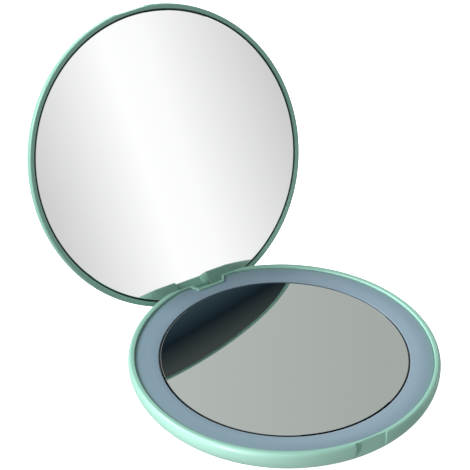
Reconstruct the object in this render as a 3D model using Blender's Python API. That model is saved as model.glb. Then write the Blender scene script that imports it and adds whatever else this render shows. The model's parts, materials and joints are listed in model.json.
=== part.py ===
"""Folding makeup mirror with a lighted base: a round compact whose lid swings on a pin at the back.

Metres, +Z up. The origin is the centre of the underside and the hinge lies along X at +Y.
Everything is first placed with the lid closed, then the lid's pieces turn to the open stop.
"""

import math

import bmesh
import bpy
from mathutils import Vector

# Gaps between neighbours
SEAT_GAP = 0.0003
CONTACT_GAP = 0.0002
PARTING_GAP = 0.0003
STOP_GAP = 0.0001
OVERRUN = 0.0010

# Outline of both shells; the outer radius follows from the battery bay outwards
RIM_WIDTH = 0.0018
CHORD_DEPTH = 0.0022
RIM_ROUND_WIDTH = 0.0009
RIM_ROUND_HEIGHT = 0.0015
BOWL_EXPONENT = 2.0
LID_EXPONENT = 1.8

# Base, from the underside up
FLOOR = 0.0010
CONTACT_SHEET = 0.0002
CELL_THICKNESS = 0.0025
CELL_RADIUS = 0.0100
CELL_RIM_HEIGHT = 0.0020
CELL_CAP_INSET = 0.0011
TRAY_PLATE = 0.0008
TRAY_UPSTAND = 0.0007
TAPE_THICKNESS = 0.0004
GLASS = 0.0012
GLASS_BEVEL = 0.0004
GLASS_BEVEL_DROP = 0.0002
RIM_PROUD = 0.0006
FLOOR_MARGIN = 0.0009
FOOT_OFFSET = 0.0003

# Light ring
DIFFUSER_WIDTH = 0.0065
DIFFUSER_LIP = 0.0005
LEDGE_WIDTH = 0.0007
UPSTAND_OFFSET = 0.0029
UPSTAND_WIDTH = 0.0018
UPSTAND_LAP = 0.0004
BOARD_THICKNESS = 0.0008
BOARD_WIDTH = 0.0026
BOARD_GAP_DEGREES = 36.0
RIB_WIDTH = 0.0010
LED_COUNT = 12
LED_LENGTH = 0.0028
LED_WIDTH = 0.0016
LED_HEIGHT = 0.0007
LED_ARC_DEGREES = 310.0
CHIP_LENGTH = 0.0029
SENSOR_WIDTH = 0.0013
DRIVER_WIDTH = 0.0016
CHIP_HEIGHT = 0.0010
RESISTOR_LENGTH = 0.0016
RESISTOR_WIDTH = 0.0008
RESISTOR_HEIGHT = 0.0005

# Hinge
OPEN_DEGREES = 117.5
HINGE_SETBACK = 0.0009
HINGE_DROP = 0.0035
PIN_RADIUS = 0.0004
PIN_CLEARANCE = 0.0001
PIN_HALF_LENGTH = 0.0085
EAR_REACH = 0.0095
HEEL_DROP = 0.0050
NOTCH_DEPTH = 0.0026
NOTCH_OUTER_HALF = 0.0053
NOTCH_INNER_HALF = 0.0040
NOTCH_LIP = 0.0004
HINGE_WALL = 0.0014
BACK_RIM = 0.0006
BACK_CHAMFER = 0.0003
KNUCKLE_RADIUS = 0.0010
KNUCKLE_SIDE_GAP = 0.0004
STOP_HEIGHT = 0.0012
WEB_FRONT = 0.0002
WEB_BACK_GAP = 0.0001

# Thumb notches
THUMB_HALF_WIDTH = 0.0050
BASE_THUMB_DEPTH = 0.0012
LID_THUMB_DEPTH = 0.0010

# Lid
LID_MIRROR_RECESS = 0.0003
LID_RIM_WIDTH = 0.0015
LID_LEDGE = 0.0020
LID_BOWL_REACH = 0.0140
LID_WALL = 0.0012
LID_RIB_HEIGHT = 0.0016
LID_RIB_RADIUS = 0.0200
LID_RIB_WIDTH = 0.0020
LID_TAPE_WIDTH = 0.0040
LID_TAPE_THICKNESS = 0.0003

# Magnets that hold the lid shut and work the light's sensor
MAGNET_RADIUS = 0.0020
BASE_MAGNET_HEIGHT = 0.0020
LID_MAGNET_HEIGHT = 0.0012
MAGNET_BOSS_WALL = 0.0008
MAGNET_BOSS_GAP = 0.0006

# Battery bay and its bayonet door
CELL_GAP = 0.0012
DOOR_RING_WALL = 0.0010
DOOR_FLANGE = 0.0006
DOOR_FLANGE_REACH = 0.0027
DOOR_LEDGE = 0.0007
DOOR_LEDGE_WALL = 0.0008
LUG_REACH = 0.0020
LUG_HEIGHT = 0.0007
LUG_COUNT = 3
LUG_HALF_DEGREES = 12.0
LUG_NOTCH_MARGIN_DEGREES = 2.5
DOOR_TWIST_DEGREES = 40.0
FIRST_LUG_DEGREES = 90.0
COIN_SLOT_INNER = 0.0040
COIN_SLOT_OUTER = 0.0120
COIN_SLOT_HALF_WIDTH = 0.0009
COIN_SLOT_DEPTH = 0.0006
CRADLE_WALL = 0.0006
BAY_RECESS = 0.0001
CONTACT_PAD_RADIUS = 0.0045
CONTACT_TAIL_HALF = 0.0014
CONTACT_TAIL_REACH = 0.0035
BRIDGE_PAD_RADIUS = 0.0050
BRIDGE_HALF_WIDTH = 0.0018

# Tray screws and their posts
POST_COUNT = 4
POST_GAP = 0.0012
POST_RADIUS = 0.0021
SCREW_RADIUS = 0.0008
SCREW_DEPTH = 0.0028
SCREW_HEAD_RADIUS = 0.0016
SCREW_HEAD_HEIGHT = 0.0005
DRIVE_SLOT_HALF_WIDTH = 0.0002
DRIVE_SLOT_DEPTH = 0.0002
SCREW_HEAD_GAP = 0.00025
BASE_TAPE_GAP = 0.0024

# Leads from the contacts to the light board
LEAD_RADIUS = 0.00035
LEAD_BOW = 0.0014

# Smoothness
TURN_SEGMENTS = 72
CELL_SEGMENTS = 40
SMALL_SEGMENTS = 20
BOWL_STEPS = 7
RIM_STEPS = 4
LEAD_POINTS = 12

# Heights worked out from the sizes above, with the lid closed
bridge_z = FLOOR + CONTACT_GAP
cell_z = bridge_z + CONTACT_SHEET + CONTACT_GAP
cell_top = cell_z + CELL_THICKNESS
contact_z = cell_top + CONTACT_GAP
tray_z = contact_z + CONTACT_SHEET + SEAT_GAP
tray_top = tray_z + TRAY_PLATE
upstand_top = tray_top + TRAY_UPSTAND
tape_z = tray_top + SEAT_GAP
glass_z = max(tape_z + TAPE_THICKNESS, upstand_top) + SEAT_GAP
glass_top = glass_z + GLASS
rim_top = glass_top + RIM_PROUD
wide_z = rim_top - RIM_ROUND_HEIGHT
hinge_z = rim_top - HINGE_DROP
ledge_z = glass_z - SEAT_GAP
board_z = tray_z - BOARD_THICKNESS
board_top = board_z + BOARD_THICKNESS
rib_top = board_z - SEAT_GAP
post_top = tray_z - SEAT_GAP
head_z = tray_top + SCREW_HEAD_GAP
ledge_low = DOOR_FLANGE + SEAT_GAP
ledge_high = ledge_low + DOOR_LEDGE
lug_z = ledge_high + SEAT_GAP
cradle_z = lug_z + LUG_HEIGHT + SEAT_GAP
lid_rim_z = rim_top + PARTING_GAP
lid_wide_z = lid_rim_z + RIM_ROUND_HEIGHT
lid_glass_z = lid_rim_z + LID_MIRROR_RECESS
lid_glass_top = lid_glass_z + GLASS
lid_ledge_z = lid_glass_top + SEAT_GAP
lid_tape_z = lid_ledge_z
lid_rib_z = lid_tape_z + LID_TAPE_THICKNESS + SEAT_GAP
lid_ceiling = lid_rib_z + LID_RIB_HEIGHT
lid_top = lid_ceiling + LID_WALL

# Radii worked out from the cells outwards
cell_offset = CELL_RADIUS + CELL_GAP / 2
door_ring_inner = cell_offset + CELL_RADIUS + SEAT_GAP
door_radius = door_ring_inner + DOOR_RING_WALL
door_opening = door_radius + SEAT_GAP
flange_radius = door_radius + DOOR_FLANGE_REACH
counterbore = flange_radius + SEAT_GAP
bay_wall = counterbore + DOOR_LEDGE_WALL
lug_radius = door_radius + LUG_REACH
cradle_radius = cell_offset + CELL_RADIUS + SEAT_GAP + CRADLE_WALL
post_pitch = bay_wall + POST_GAP + POST_RADIUS
boss_radius = MAGNET_RADIUS + SEAT_GAP + MAGNET_BOSS_WALL
magnet_pitch = bay_wall + MAGNET_BOSS_GAP + boss_radius
screw_hole = SCREW_RADIUS + SEAT_GAP
base_tape_radius = post_pitch - SCREW_HEAD_RADIUS - BASE_TAPE_GAP
upstand_inner = post_pitch + POST_RADIUS + UPSTAND_OFFSET
upstand_outer = upstand_inner + UPSTAND_WIDTH
floor_inner_radius = upstand_outer + FLOOR_MARGIN
foot_radius = floor_inner_radius + FOOT_OFFSET
diffuser_inner = upstand_outer - UPSTAND_LAP
base_mirror_radius = diffuser_inner - SEAT_GAP
board_inner = upstand_outer + SEAT_GAP
board_outer = board_inner + BOARD_WIDTH
board_middle = (board_inner + board_outer) / 2
diffuser_radius = diffuser_inner + DIFFUSER_WIDTH
rim_inner = diffuser_radius + SEAT_GAP
ledge_inner = rim_inner - LEDGE_WIDTH
outer_radius = rim_inner + RIM_WIDTH
lid_recess_radius = outer_radius - LID_RIM_WIDTH
lid_mirror_radius = lid_recess_radius - SEAT_GAP
lid_cavity_radius = lid_recess_radius - LID_LEDGE
lid_flat_radius = outer_radius - LID_BOWL_REACH

# Lines across the back
chord_y = outer_radius - CHORD_DEPTH
hinge_y = chord_y - HINGE_SETBACK
back_rim_inner = chord_y - BACK_RIM
notch_inner_y = chord_y - NOTCH_DEPTH

# The lid opens until the tooth under its knuckle meets the inner wall of the notch
open_angle = math.radians(OPEN_DEGREES)


def clear_scene():
    for item in list(bpy.data.objects):
        bpy.data.objects.remove(item, do_unlink=True)


def make_material(name, colour, roughness, metallic=0.0):
    material = bpy.data.materials.new(name)
    material.use_nodes = True
    shader = material.node_tree.nodes["Principled BSDF"]
    shader.inputs["Base Color"].default_value = (*colour, 1.0)
    shader.inputs["Roughness"].default_value = roughness
    shader.inputs["Metallic"].default_value = metallic
    return material


def ring_points(radius, segments, centre=(0.0, 0.0), start=0.0, turn=math.tau):
    """Points round a circle or an arc; a full turn leaves out the repeated last point."""
    last = segments if turn >= math.tau else segments - 1
    points = []
    for step in range(segments):
        angle = start + turn * step / last
        points.append((centre[0] + radius * math.cos(angle), centre[1] + radius * math.sin(angle)))
    return points


def finish_mesh(name, bm):
    bmesh.ops.remove_doubles(bm, verts=bm.verts, dist=OVERRUN / 1000)
    bmesh.ops.recalc_face_normals(bm, faces=bm.faces)
    mesh = bpy.data.meshes.new(name)
    bm.to_mesh(mesh)
    bm.free()
    return mesh


def turned_mesh(name, profile, segments):
    """Turns a closed (radius, height) profile about Z; points at radius 0 become poles."""
    bm = bmesh.new()
    rings = []
    for radius, height in profile:
        if radius == 0:
            rings.append([bm.verts.new((0.0, 0.0, height))] * segments)
            continue
        rings.append([bm.verts.new((x, y, height)) for x, y in ring_points(radius, segments)])
    for ring, following in zip(rings, rings[1:] + rings[:1]):
        for step in range(segments):
            beside = (step + 1) % segments
            corners = []
            for vert in (ring[step], ring[beside], following[beside], following[step]):
                if vert not in corners:
                    corners.append(vert)
            if len(corners) > 2:
                bm.faces.new(corners)
    return finish_mesh(name, bm)


def prism_mesh(name, outlines, low, high, axis="Z"):
    """Extrudes closed outlines from low to high; axis X reads each outline as (y, z)."""
    bm = bmesh.new()
    for outline in outlines:
        ends = []
        for level in (low, high):
            places = [(x, y, level) if axis == "Z" else (level, x, y) for x, y in outline]
            ends.append([bm.verts.new(place) for place in places])
        bm.faces.new(ends[0][::-1])
        bm.faces.new(ends[1])
        for step in range(len(outline)):
            beside = (step + 1) % len(outline)
            bm.faces.new((ends[0][step], ends[0][beside], ends[1][beside], ends[1][step]))
    return finish_mesh(name, bm)


def rectangle(x_low, x_high, y_low, y_high):
    return [(x_low, y_low), (x_high, y_low), (x_high, y_high), (x_low, y_high)]


def place(mesh, material=None, frame=None):
    """Makes an object of a mesh drawn in closed-lid coordinates, hung on a frame if one is given."""
    item = bpy.data.objects.new(mesh.name, mesh)
    bpy.context.scene.collection.objects.link(item)
    if frame is not None:
        for vert in mesh.vertices:
            vert.co -= frame["pivot"]
        item.parent = frame["empty"]
    if material is not None:
        mesh.materials.append(material)
        mesh.shade_smooth()
        mesh.set_sharp_from_angle(angle=math.radians(30.0))
    return item


def combine(target, mesh, operation, frame=None):
    """Adds a live Boolean whose tool object shows only as wire."""
    tool = place(mesh, frame=frame)
    tool.display_type = "WIRE"
    tool.hide_render = True
    modifier = target.modifiers.new(mesh.name, "BOOLEAN")
    modifier.operation = operation
    modifier.solver = "EXACT"
    modifier.object = tool


def bowl_height(radius, flat, wide, flat_z, wide_level, exponent):
    """Height of a dished wall that runs from a flat at one radius to upright at a wider one."""
    share = min(max((radius - flat) / (wide - flat), 0.0), 1.0)
    return wide_level + (flat_z - wide_level) * (1.0 - share**exponent) ** (1.0 / exponent)


def bowl_curve(flat, wide, flat_z, wide_level, exponent):
    points = []
    for step in range(BOWL_STEPS + 1):
        share = math.sin(math.pi / 2 * step / BOWL_STEPS) ** (2.0 / exponent)
        radius = flat + (wide - flat) * share
        points.append((radius, bowl_height(radius, flat, wide, flat_z, wide_level, exponent)))
    return points


def rim_curve(wide_level, rim_level):
    """Rounded shoulder from the widest line to the flat face of the rim, without its first point."""
    points = []
    for step in range(1, RIM_STEPS + 1):
        angle = math.pi / 2 * step / RIM_STEPS
        radius = outer_radius - RIM_ROUND_WIDTH * (1.0 - math.cos(angle))
        points.append((radius, wide_level + (rim_level - wide_level) * math.sin(angle)))
    return points


def at_angle(radius, degrees):
    angle = math.radians(degrees)
    return radius * math.cos(angle), radius * math.sin(angle)


def back_cut(name):
    """Block behind the flat back of the shells."""
    outline = rectangle(-outer_radius, outer_radius, chord_y, outer_radius + OVERRUN)
    return prism_mesh(name, [outline], -OVERRUN, lid_top + OVERRUN)


def thumb_cut(name, depth, low, high):
    reach = outer_radius + OVERRUN
    outline = rectangle(-THUMB_HALF_WIDTH, THUMB_HALF_WIDTH, -reach, depth - outer_radius)
    return prism_mesh(name, [outline], low, high)


def notch_outline(margin):
    """Tapered opening between the ears, wider by margin all round and run past the back."""
    slope = (NOTCH_OUTER_HALF - NOTCH_INNER_HALF) / NOTCH_DEPTH
    inner_y = notch_inner_y - margin
    outer_y = outer_radius + OVERRUN
    inner_half = NOTCH_INNER_HALF + margin
    outer_half = inner_half + slope * (outer_y - inner_y)
    return [(-inner_half, inner_y), (inner_half, inner_y), (outer_half, outer_y), (-outer_half, outer_y)]


def post_places():
    return [at_angle(post_pitch, 360.0 * (post + 0.5) / POST_COUNT) for post in range(POST_COUNT)]


def circles(places, radius, segments):
    return [ring_points(radius, segments, centre) for centre in places]


def closed_place(y, z):
    """Where a point of the lid given in its open position lies when the lid is closed."""
    reach = y - hinge_y
    rise = z - hinge_z
    closed_y = hinge_y + reach * math.cos(open_angle) - rise * math.sin(open_angle)
    closed_z = hinge_z + reach * math.sin(open_angle) + rise * math.cos(open_angle)
    return closed_y, closed_z


def hinge_cylinder(name, radius, low, high):
    outline = ring_points(radius, SMALL_SEGMENTS, (hinge_y, hinge_z))
    return prism_mesh(name, [outline], low, high, axis="X")


def sector(inner, outer, middle_degrees, half_degrees):
    start = math.radians(middle_degrees - half_degrees)
    turn = math.radians(2.0 * half_degrees)
    outer_arc = ring_points(outer, LUG_COUNT * 2, start=start, turn=turn)
    inner_arc = ring_points(inner, LUG_COUNT * 2, start=start, turn=turn)
    return outer_arc + inner_arc[::-1]


def base_profile():
    outer = bowl_curve(foot_radius, outer_radius, 0.0, wide_z, BOWL_EXPONENT) + rim_curve(wide_z, rim_top)
    inner_wall = (floor_inner_radius, ledge_inner, FLOOR, ledge_z, BOWL_EXPONENT)
    rib_outer = board_middle + RIB_WIDTH / 2
    rib_inner = board_middle - RIB_WIDTH / 2
    curve = bowl_curve(*inner_wall)[::-1]
    inner = [point for point in curve if point[0] > rib_outer]
    inner += [(rib_outer, bowl_height(rib_outer, *inner_wall)), (rib_outer, rib_top)]
    inner += [(rib_inner, rib_top), (rib_inner, bowl_height(rib_inner, *inner_wall))]
    inner += [point for point in curve if point[0] < rib_inner]
    return (
        [(door_opening, ledge_low), (counterbore, ledge_low), (counterbore, 0.0)]
        + outer
        + [(rim_inner, rim_top), (rim_inner, ledge_z)]
        + inner
        + [(bay_wall, FLOOR), (bay_wall, ledge_high), (door_opening, ledge_high)]
    )


def middle_of_wall(radius):
    """Height halfway through the base's dished wall at a radius."""
    outer = bowl_height(radius, foot_radius, outer_radius, 0.0, wide_z, BOWL_EXPONENT)
    inner = bowl_height(radius, floor_inner_radius, ledge_inner, FLOOR, ledge_z, BOWL_EXPONENT)
    return (outer + inner) / 2


def make_base_shell(mint):
    shell = place(turned_mesh("base_shell", base_profile(), TURN_SEGMENTS), mint)
    floor_middle = FLOOR / 2
    posts = circles(post_places(), POST_RADIUS, SMALL_SEGMENTS)
    combine(shell, prism_mesh("post_tool", posts, floor_middle, post_top), "UNION")
    magnet_place = (0.0, -magnet_pitch)
    boss_top = FLOOR + SEAT_GAP + BASE_MAGNET_HEIGHT
    boss = circles([magnet_place], boss_radius, SMALL_SEGMENTS)
    combine(shell, prism_mesh("base_boss_tool", boss, floor_middle, boss_top), "UNION")
    wall_inner = notch_inner_y - HINGE_WALL
    heel_z = rim_top - HEEL_DROP
    lip_z = glass_top - DIFFUSER_LIP - SEAT_GAP
    block = [(y, middle_of_wall(y)) for y in (wall_inner, notch_inner_y, hinge_y - KNUCKLE_RADIUS)]
    block += [
        (chord_y, heel_z),
        (chord_y, rim_top),
        (back_rim_inner, rim_top),
        (back_rim_inner, lip_z),
        (wall_inner, lip_z),
    ]
    combine(shell, prism_mesh("ear_tool", [block], -EAR_REACH, EAR_REACH, axis="X"), "UNION")
    lip = prism_mesh("notch_lip_tool", [notch_outline(NOTCH_LIP)], hinge_z, rim_top)
    combine(shell, lip, "UNION")
    combine(shell, back_cut("base_back_cut"), "DIFFERENCE")
    chamfer = [
        (chord_y - BACK_CHAMFER - OVERRUN, rim_top + OVERRUN),
        (chord_y + OVERRUN, rim_top - BACK_CHAMFER - OVERRUN),
        (chord_y + OVERRUN, rim_top + OVERRUN),
    ]
    edge = prism_mesh("back_edge_cut", [chamfer], -outer_radius, outer_radius, axis="X")
    combine(shell, edge, "DIFFERENCE")
    notch = prism_mesh("hinge_notch_cut", [notch_outline(0.0)], -OVERRUN, rim_top + OVERRUN)
    combine(shell, notch, "DIFFERENCE")
    blind_end = -PIN_HALF_LENGTH - SEAT_GAP
    bore = hinge_cylinder("pin_bore_cut", PIN_RADIUS + PIN_CLEARANCE, blind_end, outer_radius)
    combine(shell, bore, "DIFFERENCE")
    thumb = thumb_cut("base_thumb_cut", BASE_THUMB_DEPTH, -OVERRUN, rim_top + OVERRUN)
    combine(shell, thumb, "DIFFERENCE")
    lug_cut_half = LUG_HALF_DEGREES + LUG_NOTCH_MARGIN_DEGREES
    openings = []
    for lug in range(LUG_COUNT):
        middle = FIRST_LUG_DEGREES - DOOR_TWIST_DEGREES + 360.0 * lug / LUG_COUNT
        openings.append(sector(door_opening - OVERRUN, lug_radius + SEAT_GAP, middle, lug_cut_half))
    lug_cut = prism_mesh("lug_notch_cut", openings, ledge_low - OVERRUN, ledge_high + OVERRUN)
    combine(shell, lug_cut, "DIFFERENCE")
    pilots = circles(post_places(), screw_hole, SMALL_SEGMENTS)
    combine(shell, prism_mesh("pilot_cut", pilots, FLOOR, post_top + OVERRUN), "DIFFERENCE")
    pocket = circles([magnet_place], MAGNET_RADIUS + SEAT_GAP, SMALL_SEGMENTS)
    combine(shell, prism_mesh("base_pocket_cut", pocket, FLOOR, boss_top + OVERRUN), "DIFFERENCE")


def make_tray(white):
    profile = [
        (0.0, tray_z),
        (upstand_outer, tray_z),
        (upstand_outer, upstand_top),
        (upstand_inner, upstand_top),
        (upstand_inner, tray_top),
        (0.0, tray_top),
    ]
    tray = place(turned_mesh("led_tray", profile, TURN_SEGMENTS), white)
    outer = ring_points(cradle_radius, CELL_SEGMENTS)
    cradle = prism_mesh("cradle_tool", [outer], cradle_z, tray_z + TRAY_PLATE / 2)
    combine(tray, cradle, "UNION")
    bays = circles(cell_places(), CELL_RADIUS + SEAT_GAP, CELL_SEGMENTS)
    bay_top = tray_z + BAY_RECESS
    combine(tray, prism_mesh("bay_cut", bays, cradle_z - OVERRUN, bay_top), "DIFFERENCE")
    slot_half = CONTACT_TAIL_HALF + SEAT_GAP
    slots = []
    for side in (-1.0, 1.0):
        ends = sorted((side * (cradle_radius - CELL_RADIUS / 2), side * (cradle_radius + OVERRUN)))
        slots.append(rectangle(ends[0], ends[1], -slot_half, slot_half))
    slot_z = contact_z - SEAT_GAP
    combine(tray, prism_mesh("tail_slot_cut", slots, slot_z, bay_top + BAY_RECESS), "DIFFERENCE")
    holes = circles(post_places(), screw_hole, SMALL_SEGMENTS)
    combine(tray, prism_mesh("screw_hole_cut", holes, tray_z - OVERRUN, tray_top + OVERRUN), "DIFFERENCE")


def cell_places():
    return [(-cell_offset, 0.0), (cell_offset, 0.0)]


def make_cells(steel):
    for name, (x, y) in zip(("battery_cell_left", "battery_cell_right"), cell_places()):
        profile = [
            (0.0, cell_z),
            (CELL_RADIUS, cell_z),
            (CELL_RADIUS, cell_z + CELL_RIM_HEIGHT),
            (CELL_RADIUS - CELL_CAP_INSET, cell_top),
            (0.0, cell_top),
        ]
        cell = place(turned_mesh(name, profile, CELL_SEGMENTS), steel)
        cell.location = (x, y, 0.0)


def make_contacts(nickel):
    """A round pad over each cell with a tail that leaves through the cradle, and the door's bridge."""
    tail_end = cradle_radius + CONTACT_TAIL_REACH
    reach = math.asin(CONTACT_TAIL_HALF / CONTACT_PAD_RADIUS)
    arc = ring_points(CONTACT_PAD_RADIUS, SMALL_SEGMENTS, start=reach, turn=math.tau - 2.0 * reach)
    local_end = tail_end - cell_offset
    for name, side in (("contact_positive", -1.0), ("contact_negative", 1.0)):
        outline = arc + [(local_end, -CONTACT_TAIL_HALF), (local_end, CONTACT_TAIL_HALF)]
        outline = [(side * (x + cell_offset), y) for x, y in outline]
        place(prism_mesh(name, [outline], contact_z, contact_z + CONTACT_SHEET), nickel)
    reach = math.asin(BRIDGE_HALF_WIDTH / BRIDGE_PAD_RADIUS)
    half = ring_points(
        BRIDGE_PAD_RADIUS,
        SMALL_SEGMENTS,
        (cell_offset, 0.0),
        start=reach - math.pi,
        turn=math.tau - 2.0 * reach,
    )
    outline = half + [(-x, -y) for x, y in half]
    place(prism_mesh("door_bridge_contact", [outline], bridge_z, bridge_z + CONTACT_SHEET), nickel)


def make_door(mint):
    profile = [
        (0.0, 0.0),
        (flange_radius, 0.0),
        (flange_radius, DOOR_FLANGE),
        (door_radius, DOOR_FLANGE),
        (door_radius, lug_z + LUG_HEIGHT),
        (door_ring_inner, lug_z + LUG_HEIGHT),
        (door_ring_inner, FLOOR),
        (0.0, FLOOR),
    ]
    door = place(turned_mesh("battery_door", profile, TURN_SEGMENTS), mint)
    lugs = []
    for lug in range(LUG_COUNT):
        middle = FIRST_LUG_DEGREES + 360.0 * lug / LUG_COUNT
        lugs.append(sector(door_radius - DOOR_RING_WALL / 2, lug_radius, middle, LUG_HALF_DEGREES))
    combine(door, prism_mesh("lug_tool", lugs, lug_z, lug_z + LUG_HEIGHT), "UNION")
    slots = []
    for side in (-1.0, 1.0):
        ends = sorted((side * COIN_SLOT_INNER, side * COIN_SLOT_OUTER))
        slots.append(rectangle(ends[0], ends[1], -COIN_SLOT_HALF_WIDTH, COIN_SLOT_HALF_WIDTH))
    combine(door, prism_mesh("coin_slot_cut", slots, -OVERRUN, COIN_SLOT_DEPTH), "DIFFERENCE")


def make_screws(steel):
    for count, (x, y) in enumerate(post_places(), start=1):
        profile = [
            (0.0, head_z - TRAY_PLATE - SCREW_DEPTH),
            (SCREW_RADIUS, head_z - TRAY_PLATE - SCREW_DEPTH + SCREW_RADIUS),
            (SCREW_RADIUS, head_z),
            (SCREW_HEAD_RADIUS, head_z),
            (SCREW_HEAD_RADIUS, head_z + SCREW_HEAD_HEIGHT),
            (0.0, head_z + SCREW_HEAD_HEIGHT),
        ]
        screw = place(turned_mesh(f"tray_screw_{count}", profile, SMALL_SEGMENTS), steel)
        screw.location = (x, y, 0.0)
        half = DRIVE_SLOT_HALF_WIDTH
        reach = SCREW_HEAD_RADIUS + OVERRUN
        outline = rectangle(x - reach, x + reach, y - half, y + half)
        slot_z = head_z + SCREW_HEAD_HEIGHT - DRIVE_SLOT_DEPTH
        slot = prism_mesh(f"drive_slot_cut_{count}", [outline], slot_z, slot_z + OVERRUN)
        combine(screw, slot, "DIFFERENCE")


def block_on_board(name, degrees, length, width, height, material):
    """A part on the light board, its length running round the ring."""
    low = board_top + SEAT_GAP
    outline = rectangle(-width / 2, width / 2, -length / 2, length / 2)
    item = place(prism_mesh(name, [outline], low, low + height), material)
    x, y = at_angle(board_middle, degrees)
    item.location = (x, y, 0.0)
    item.rotation_euler = (0.0, 0.0, math.radians(degrees))


def led_angle(place_on_arc):
    """Angle of a light counted from the first one; a half step falls between two of them."""
    first = 90.0 + (360.0 - LED_ARC_DEGREES) / 2
    return first + LED_ARC_DEGREES * place_on_arc / (LED_COUNT - 1)


def make_light_board(board_green, led_white, chip_black, resistor_dark):
    start = math.radians(90.0 + BOARD_GAP_DEGREES / 2)
    turn = math.radians(360.0 - BOARD_GAP_DEGREES)
    outer = ring_points(board_outer, TURN_SEGMENTS, start=start, turn=turn)
    inner = ring_points(board_inner, TURN_SEGMENTS, start=start, turn=turn)
    place(prism_mesh("led_board", [outer + inner[::-1]], board_z, board_top), board_green)
    for count in range(LED_COUNT):
        name = f"led_{count + 1:02d}"
        block_on_board(name, led_angle(count), LED_LENGTH, LED_WIDTH, LED_HEIGHT, led_white)
    middle = (LED_COUNT - 1) / 2
    block_on_board("hall_sensor", led_angle(middle), CHIP_LENGTH, SENSOR_WIDTH, CHIP_HEIGHT, chip_black)
    block_on_board("driver_chip", led_angle(middle + 1), CHIP_LENGTH, DRIVER_WIDTH, CHIP_HEIGHT, chip_black)
    for count in (1, 2):
        angle = led_angle(middle - count)
        sizes = (RESISTOR_LENGTH, RESISTOR_WIDTH, RESISTOR_HEIGHT)
        block_on_board(f"resistor_{count}", angle, *sizes, resistor_dark)


def make_diffuser(milky):
    profile = [
        (diffuser_inner, glass_z),
        (diffuser_radius, glass_z),
        (diffuser_radius, glass_top),
        (diffuser_inner, glass_top),
    ]
    diffuser = place(turned_mesh("diffuser_ring", profile, TURN_SEGMENTS), milky)
    reach = outer_radius + OVERRUN
    low = glass_z - OVERRUN
    back = rectangle(-reach, reach, back_rim_inner - SEAT_GAP, reach)
    combine(diffuser, prism_mesh("diffuser_back_cut", [back], low, rim_top), "DIFFERENCE")
    notch = notch_outline(NOTCH_LIP + SEAT_GAP)
    combine(diffuser, prism_mesh("diffuser_notch_cut", [notch], low, rim_top), "DIFFERENCE")
    rebate_y = notch_inner_y - HINGE_WALL - SEAT_GAP
    half = EAR_REACH + SEAT_GAP
    rebate = rectangle(-half, half, rebate_y, reach)
    rebate_top = glass_top - DIFFUSER_LIP
    combine(diffuser, prism_mesh("diffuser_rebate_cut", [rebate], low, rebate_top), "DIFFERENCE")


def bevelled_glass(radius, back_z, face_z):
    """Profile of a mirror disc whose face edge is ground to a slope."""
    edge_z = face_z - math.copysign(GLASS_BEVEL_DROP, face_z - back_z)
    ground = [(radius, edge_z), (radius - GLASS_BEVEL, face_z)]
    return [(0.0, back_z), (radius, back_z)] + ground + [(0.0, face_z)]


def make_base_mirror(silver, foam):
    profile = bevelled_glass(base_mirror_radius, glass_z, glass_top)
    place(turned_mesh("base_mirror", profile, TURN_SEGMENTS), silver)
    tape = ring_points(base_tape_radius, CELL_SEGMENTS)
    place(prism_mesh("base_mirror_tape", [tape], tape_z, tape_z + TAPE_THICKNESS), foam)


def make_hinge_pin(steel):
    pin = place(hinge_cylinder("hinge_pin", PIN_RADIUS, -PIN_HALF_LENGTH, PIN_HALF_LENGTH), steel)
    return pin


def make_magnet(name, low, height, metal, frame=None):
    outline = ring_points(MAGNET_RADIUS, SMALL_SEGMENTS, (0.0, -magnet_pitch))
    place(prism_mesh(name, [outline], low, low + height), metal, frame)


def make_leads(red, black):
    """Short wires that run outward under the tray from each contact's tail to the light board."""
    start = cradle_radius + CONTACT_TAIL_REACH + SEAT_GAP
    finish = board_inner - SEAT_GAP
    height = contact_z - LEAD_RADIUS / 2
    for name, side, material in (("lead_red", -1.0, red), ("lead_black", 1.0, black)):
        curve = bpy.data.curves.new(name, "CURVE")
        curve.dimensions = "3D"
        spline = curve.splines.new("POLY")
        spline.points.add(LEAD_POINTS - 1)
        for step, point in enumerate(spline.points):
            share = step / (LEAD_POINTS - 1)
            bow = LEAD_BOW * math.sin(math.pi * share) ** 2
            point.co = (side * (start + (finish - start) * share), bow, height, 1.0)
        curve.bevel_depth = LEAD_RADIUS
        curve.bevel_resolution = 1
        curve.use_fill_caps = True
        curve.materials.append(material)
        item = bpy.data.objects.new(name, curve)
        bpy.context.scene.collection.objects.link(item)


def lid_profile():
    outer = bowl_curve(lid_flat_radius, outer_radius, lid_top, lid_wide_z, LID_EXPONENT)
    outer += rim_curve(lid_wide_z, lid_rim_z)
    dome = bowl_curve(lid_flat_radius, lid_cavity_radius, lid_ceiling, lid_ledge_z, LID_EXPONENT)[::-1]
    recess = [(lid_recess_radius, lid_rim_z), (lid_recess_radius, lid_ledge_z)]
    rib_outer = LID_RIB_RADIUS + LID_RIB_WIDTH / 2
    rib_inner = LID_RIB_RADIUS - LID_RIB_WIDTH / 2
    rib = [
        (rib_outer, lid_ceiling),
        (rib_outer, lid_rib_z),
        (rib_inner, lid_rib_z),
        (rib_inner, lid_ceiling),
    ]
    return [(0.0, lid_top)] + outer + recess + dome + rib + [(0.0, lid_ceiling)]


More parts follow.
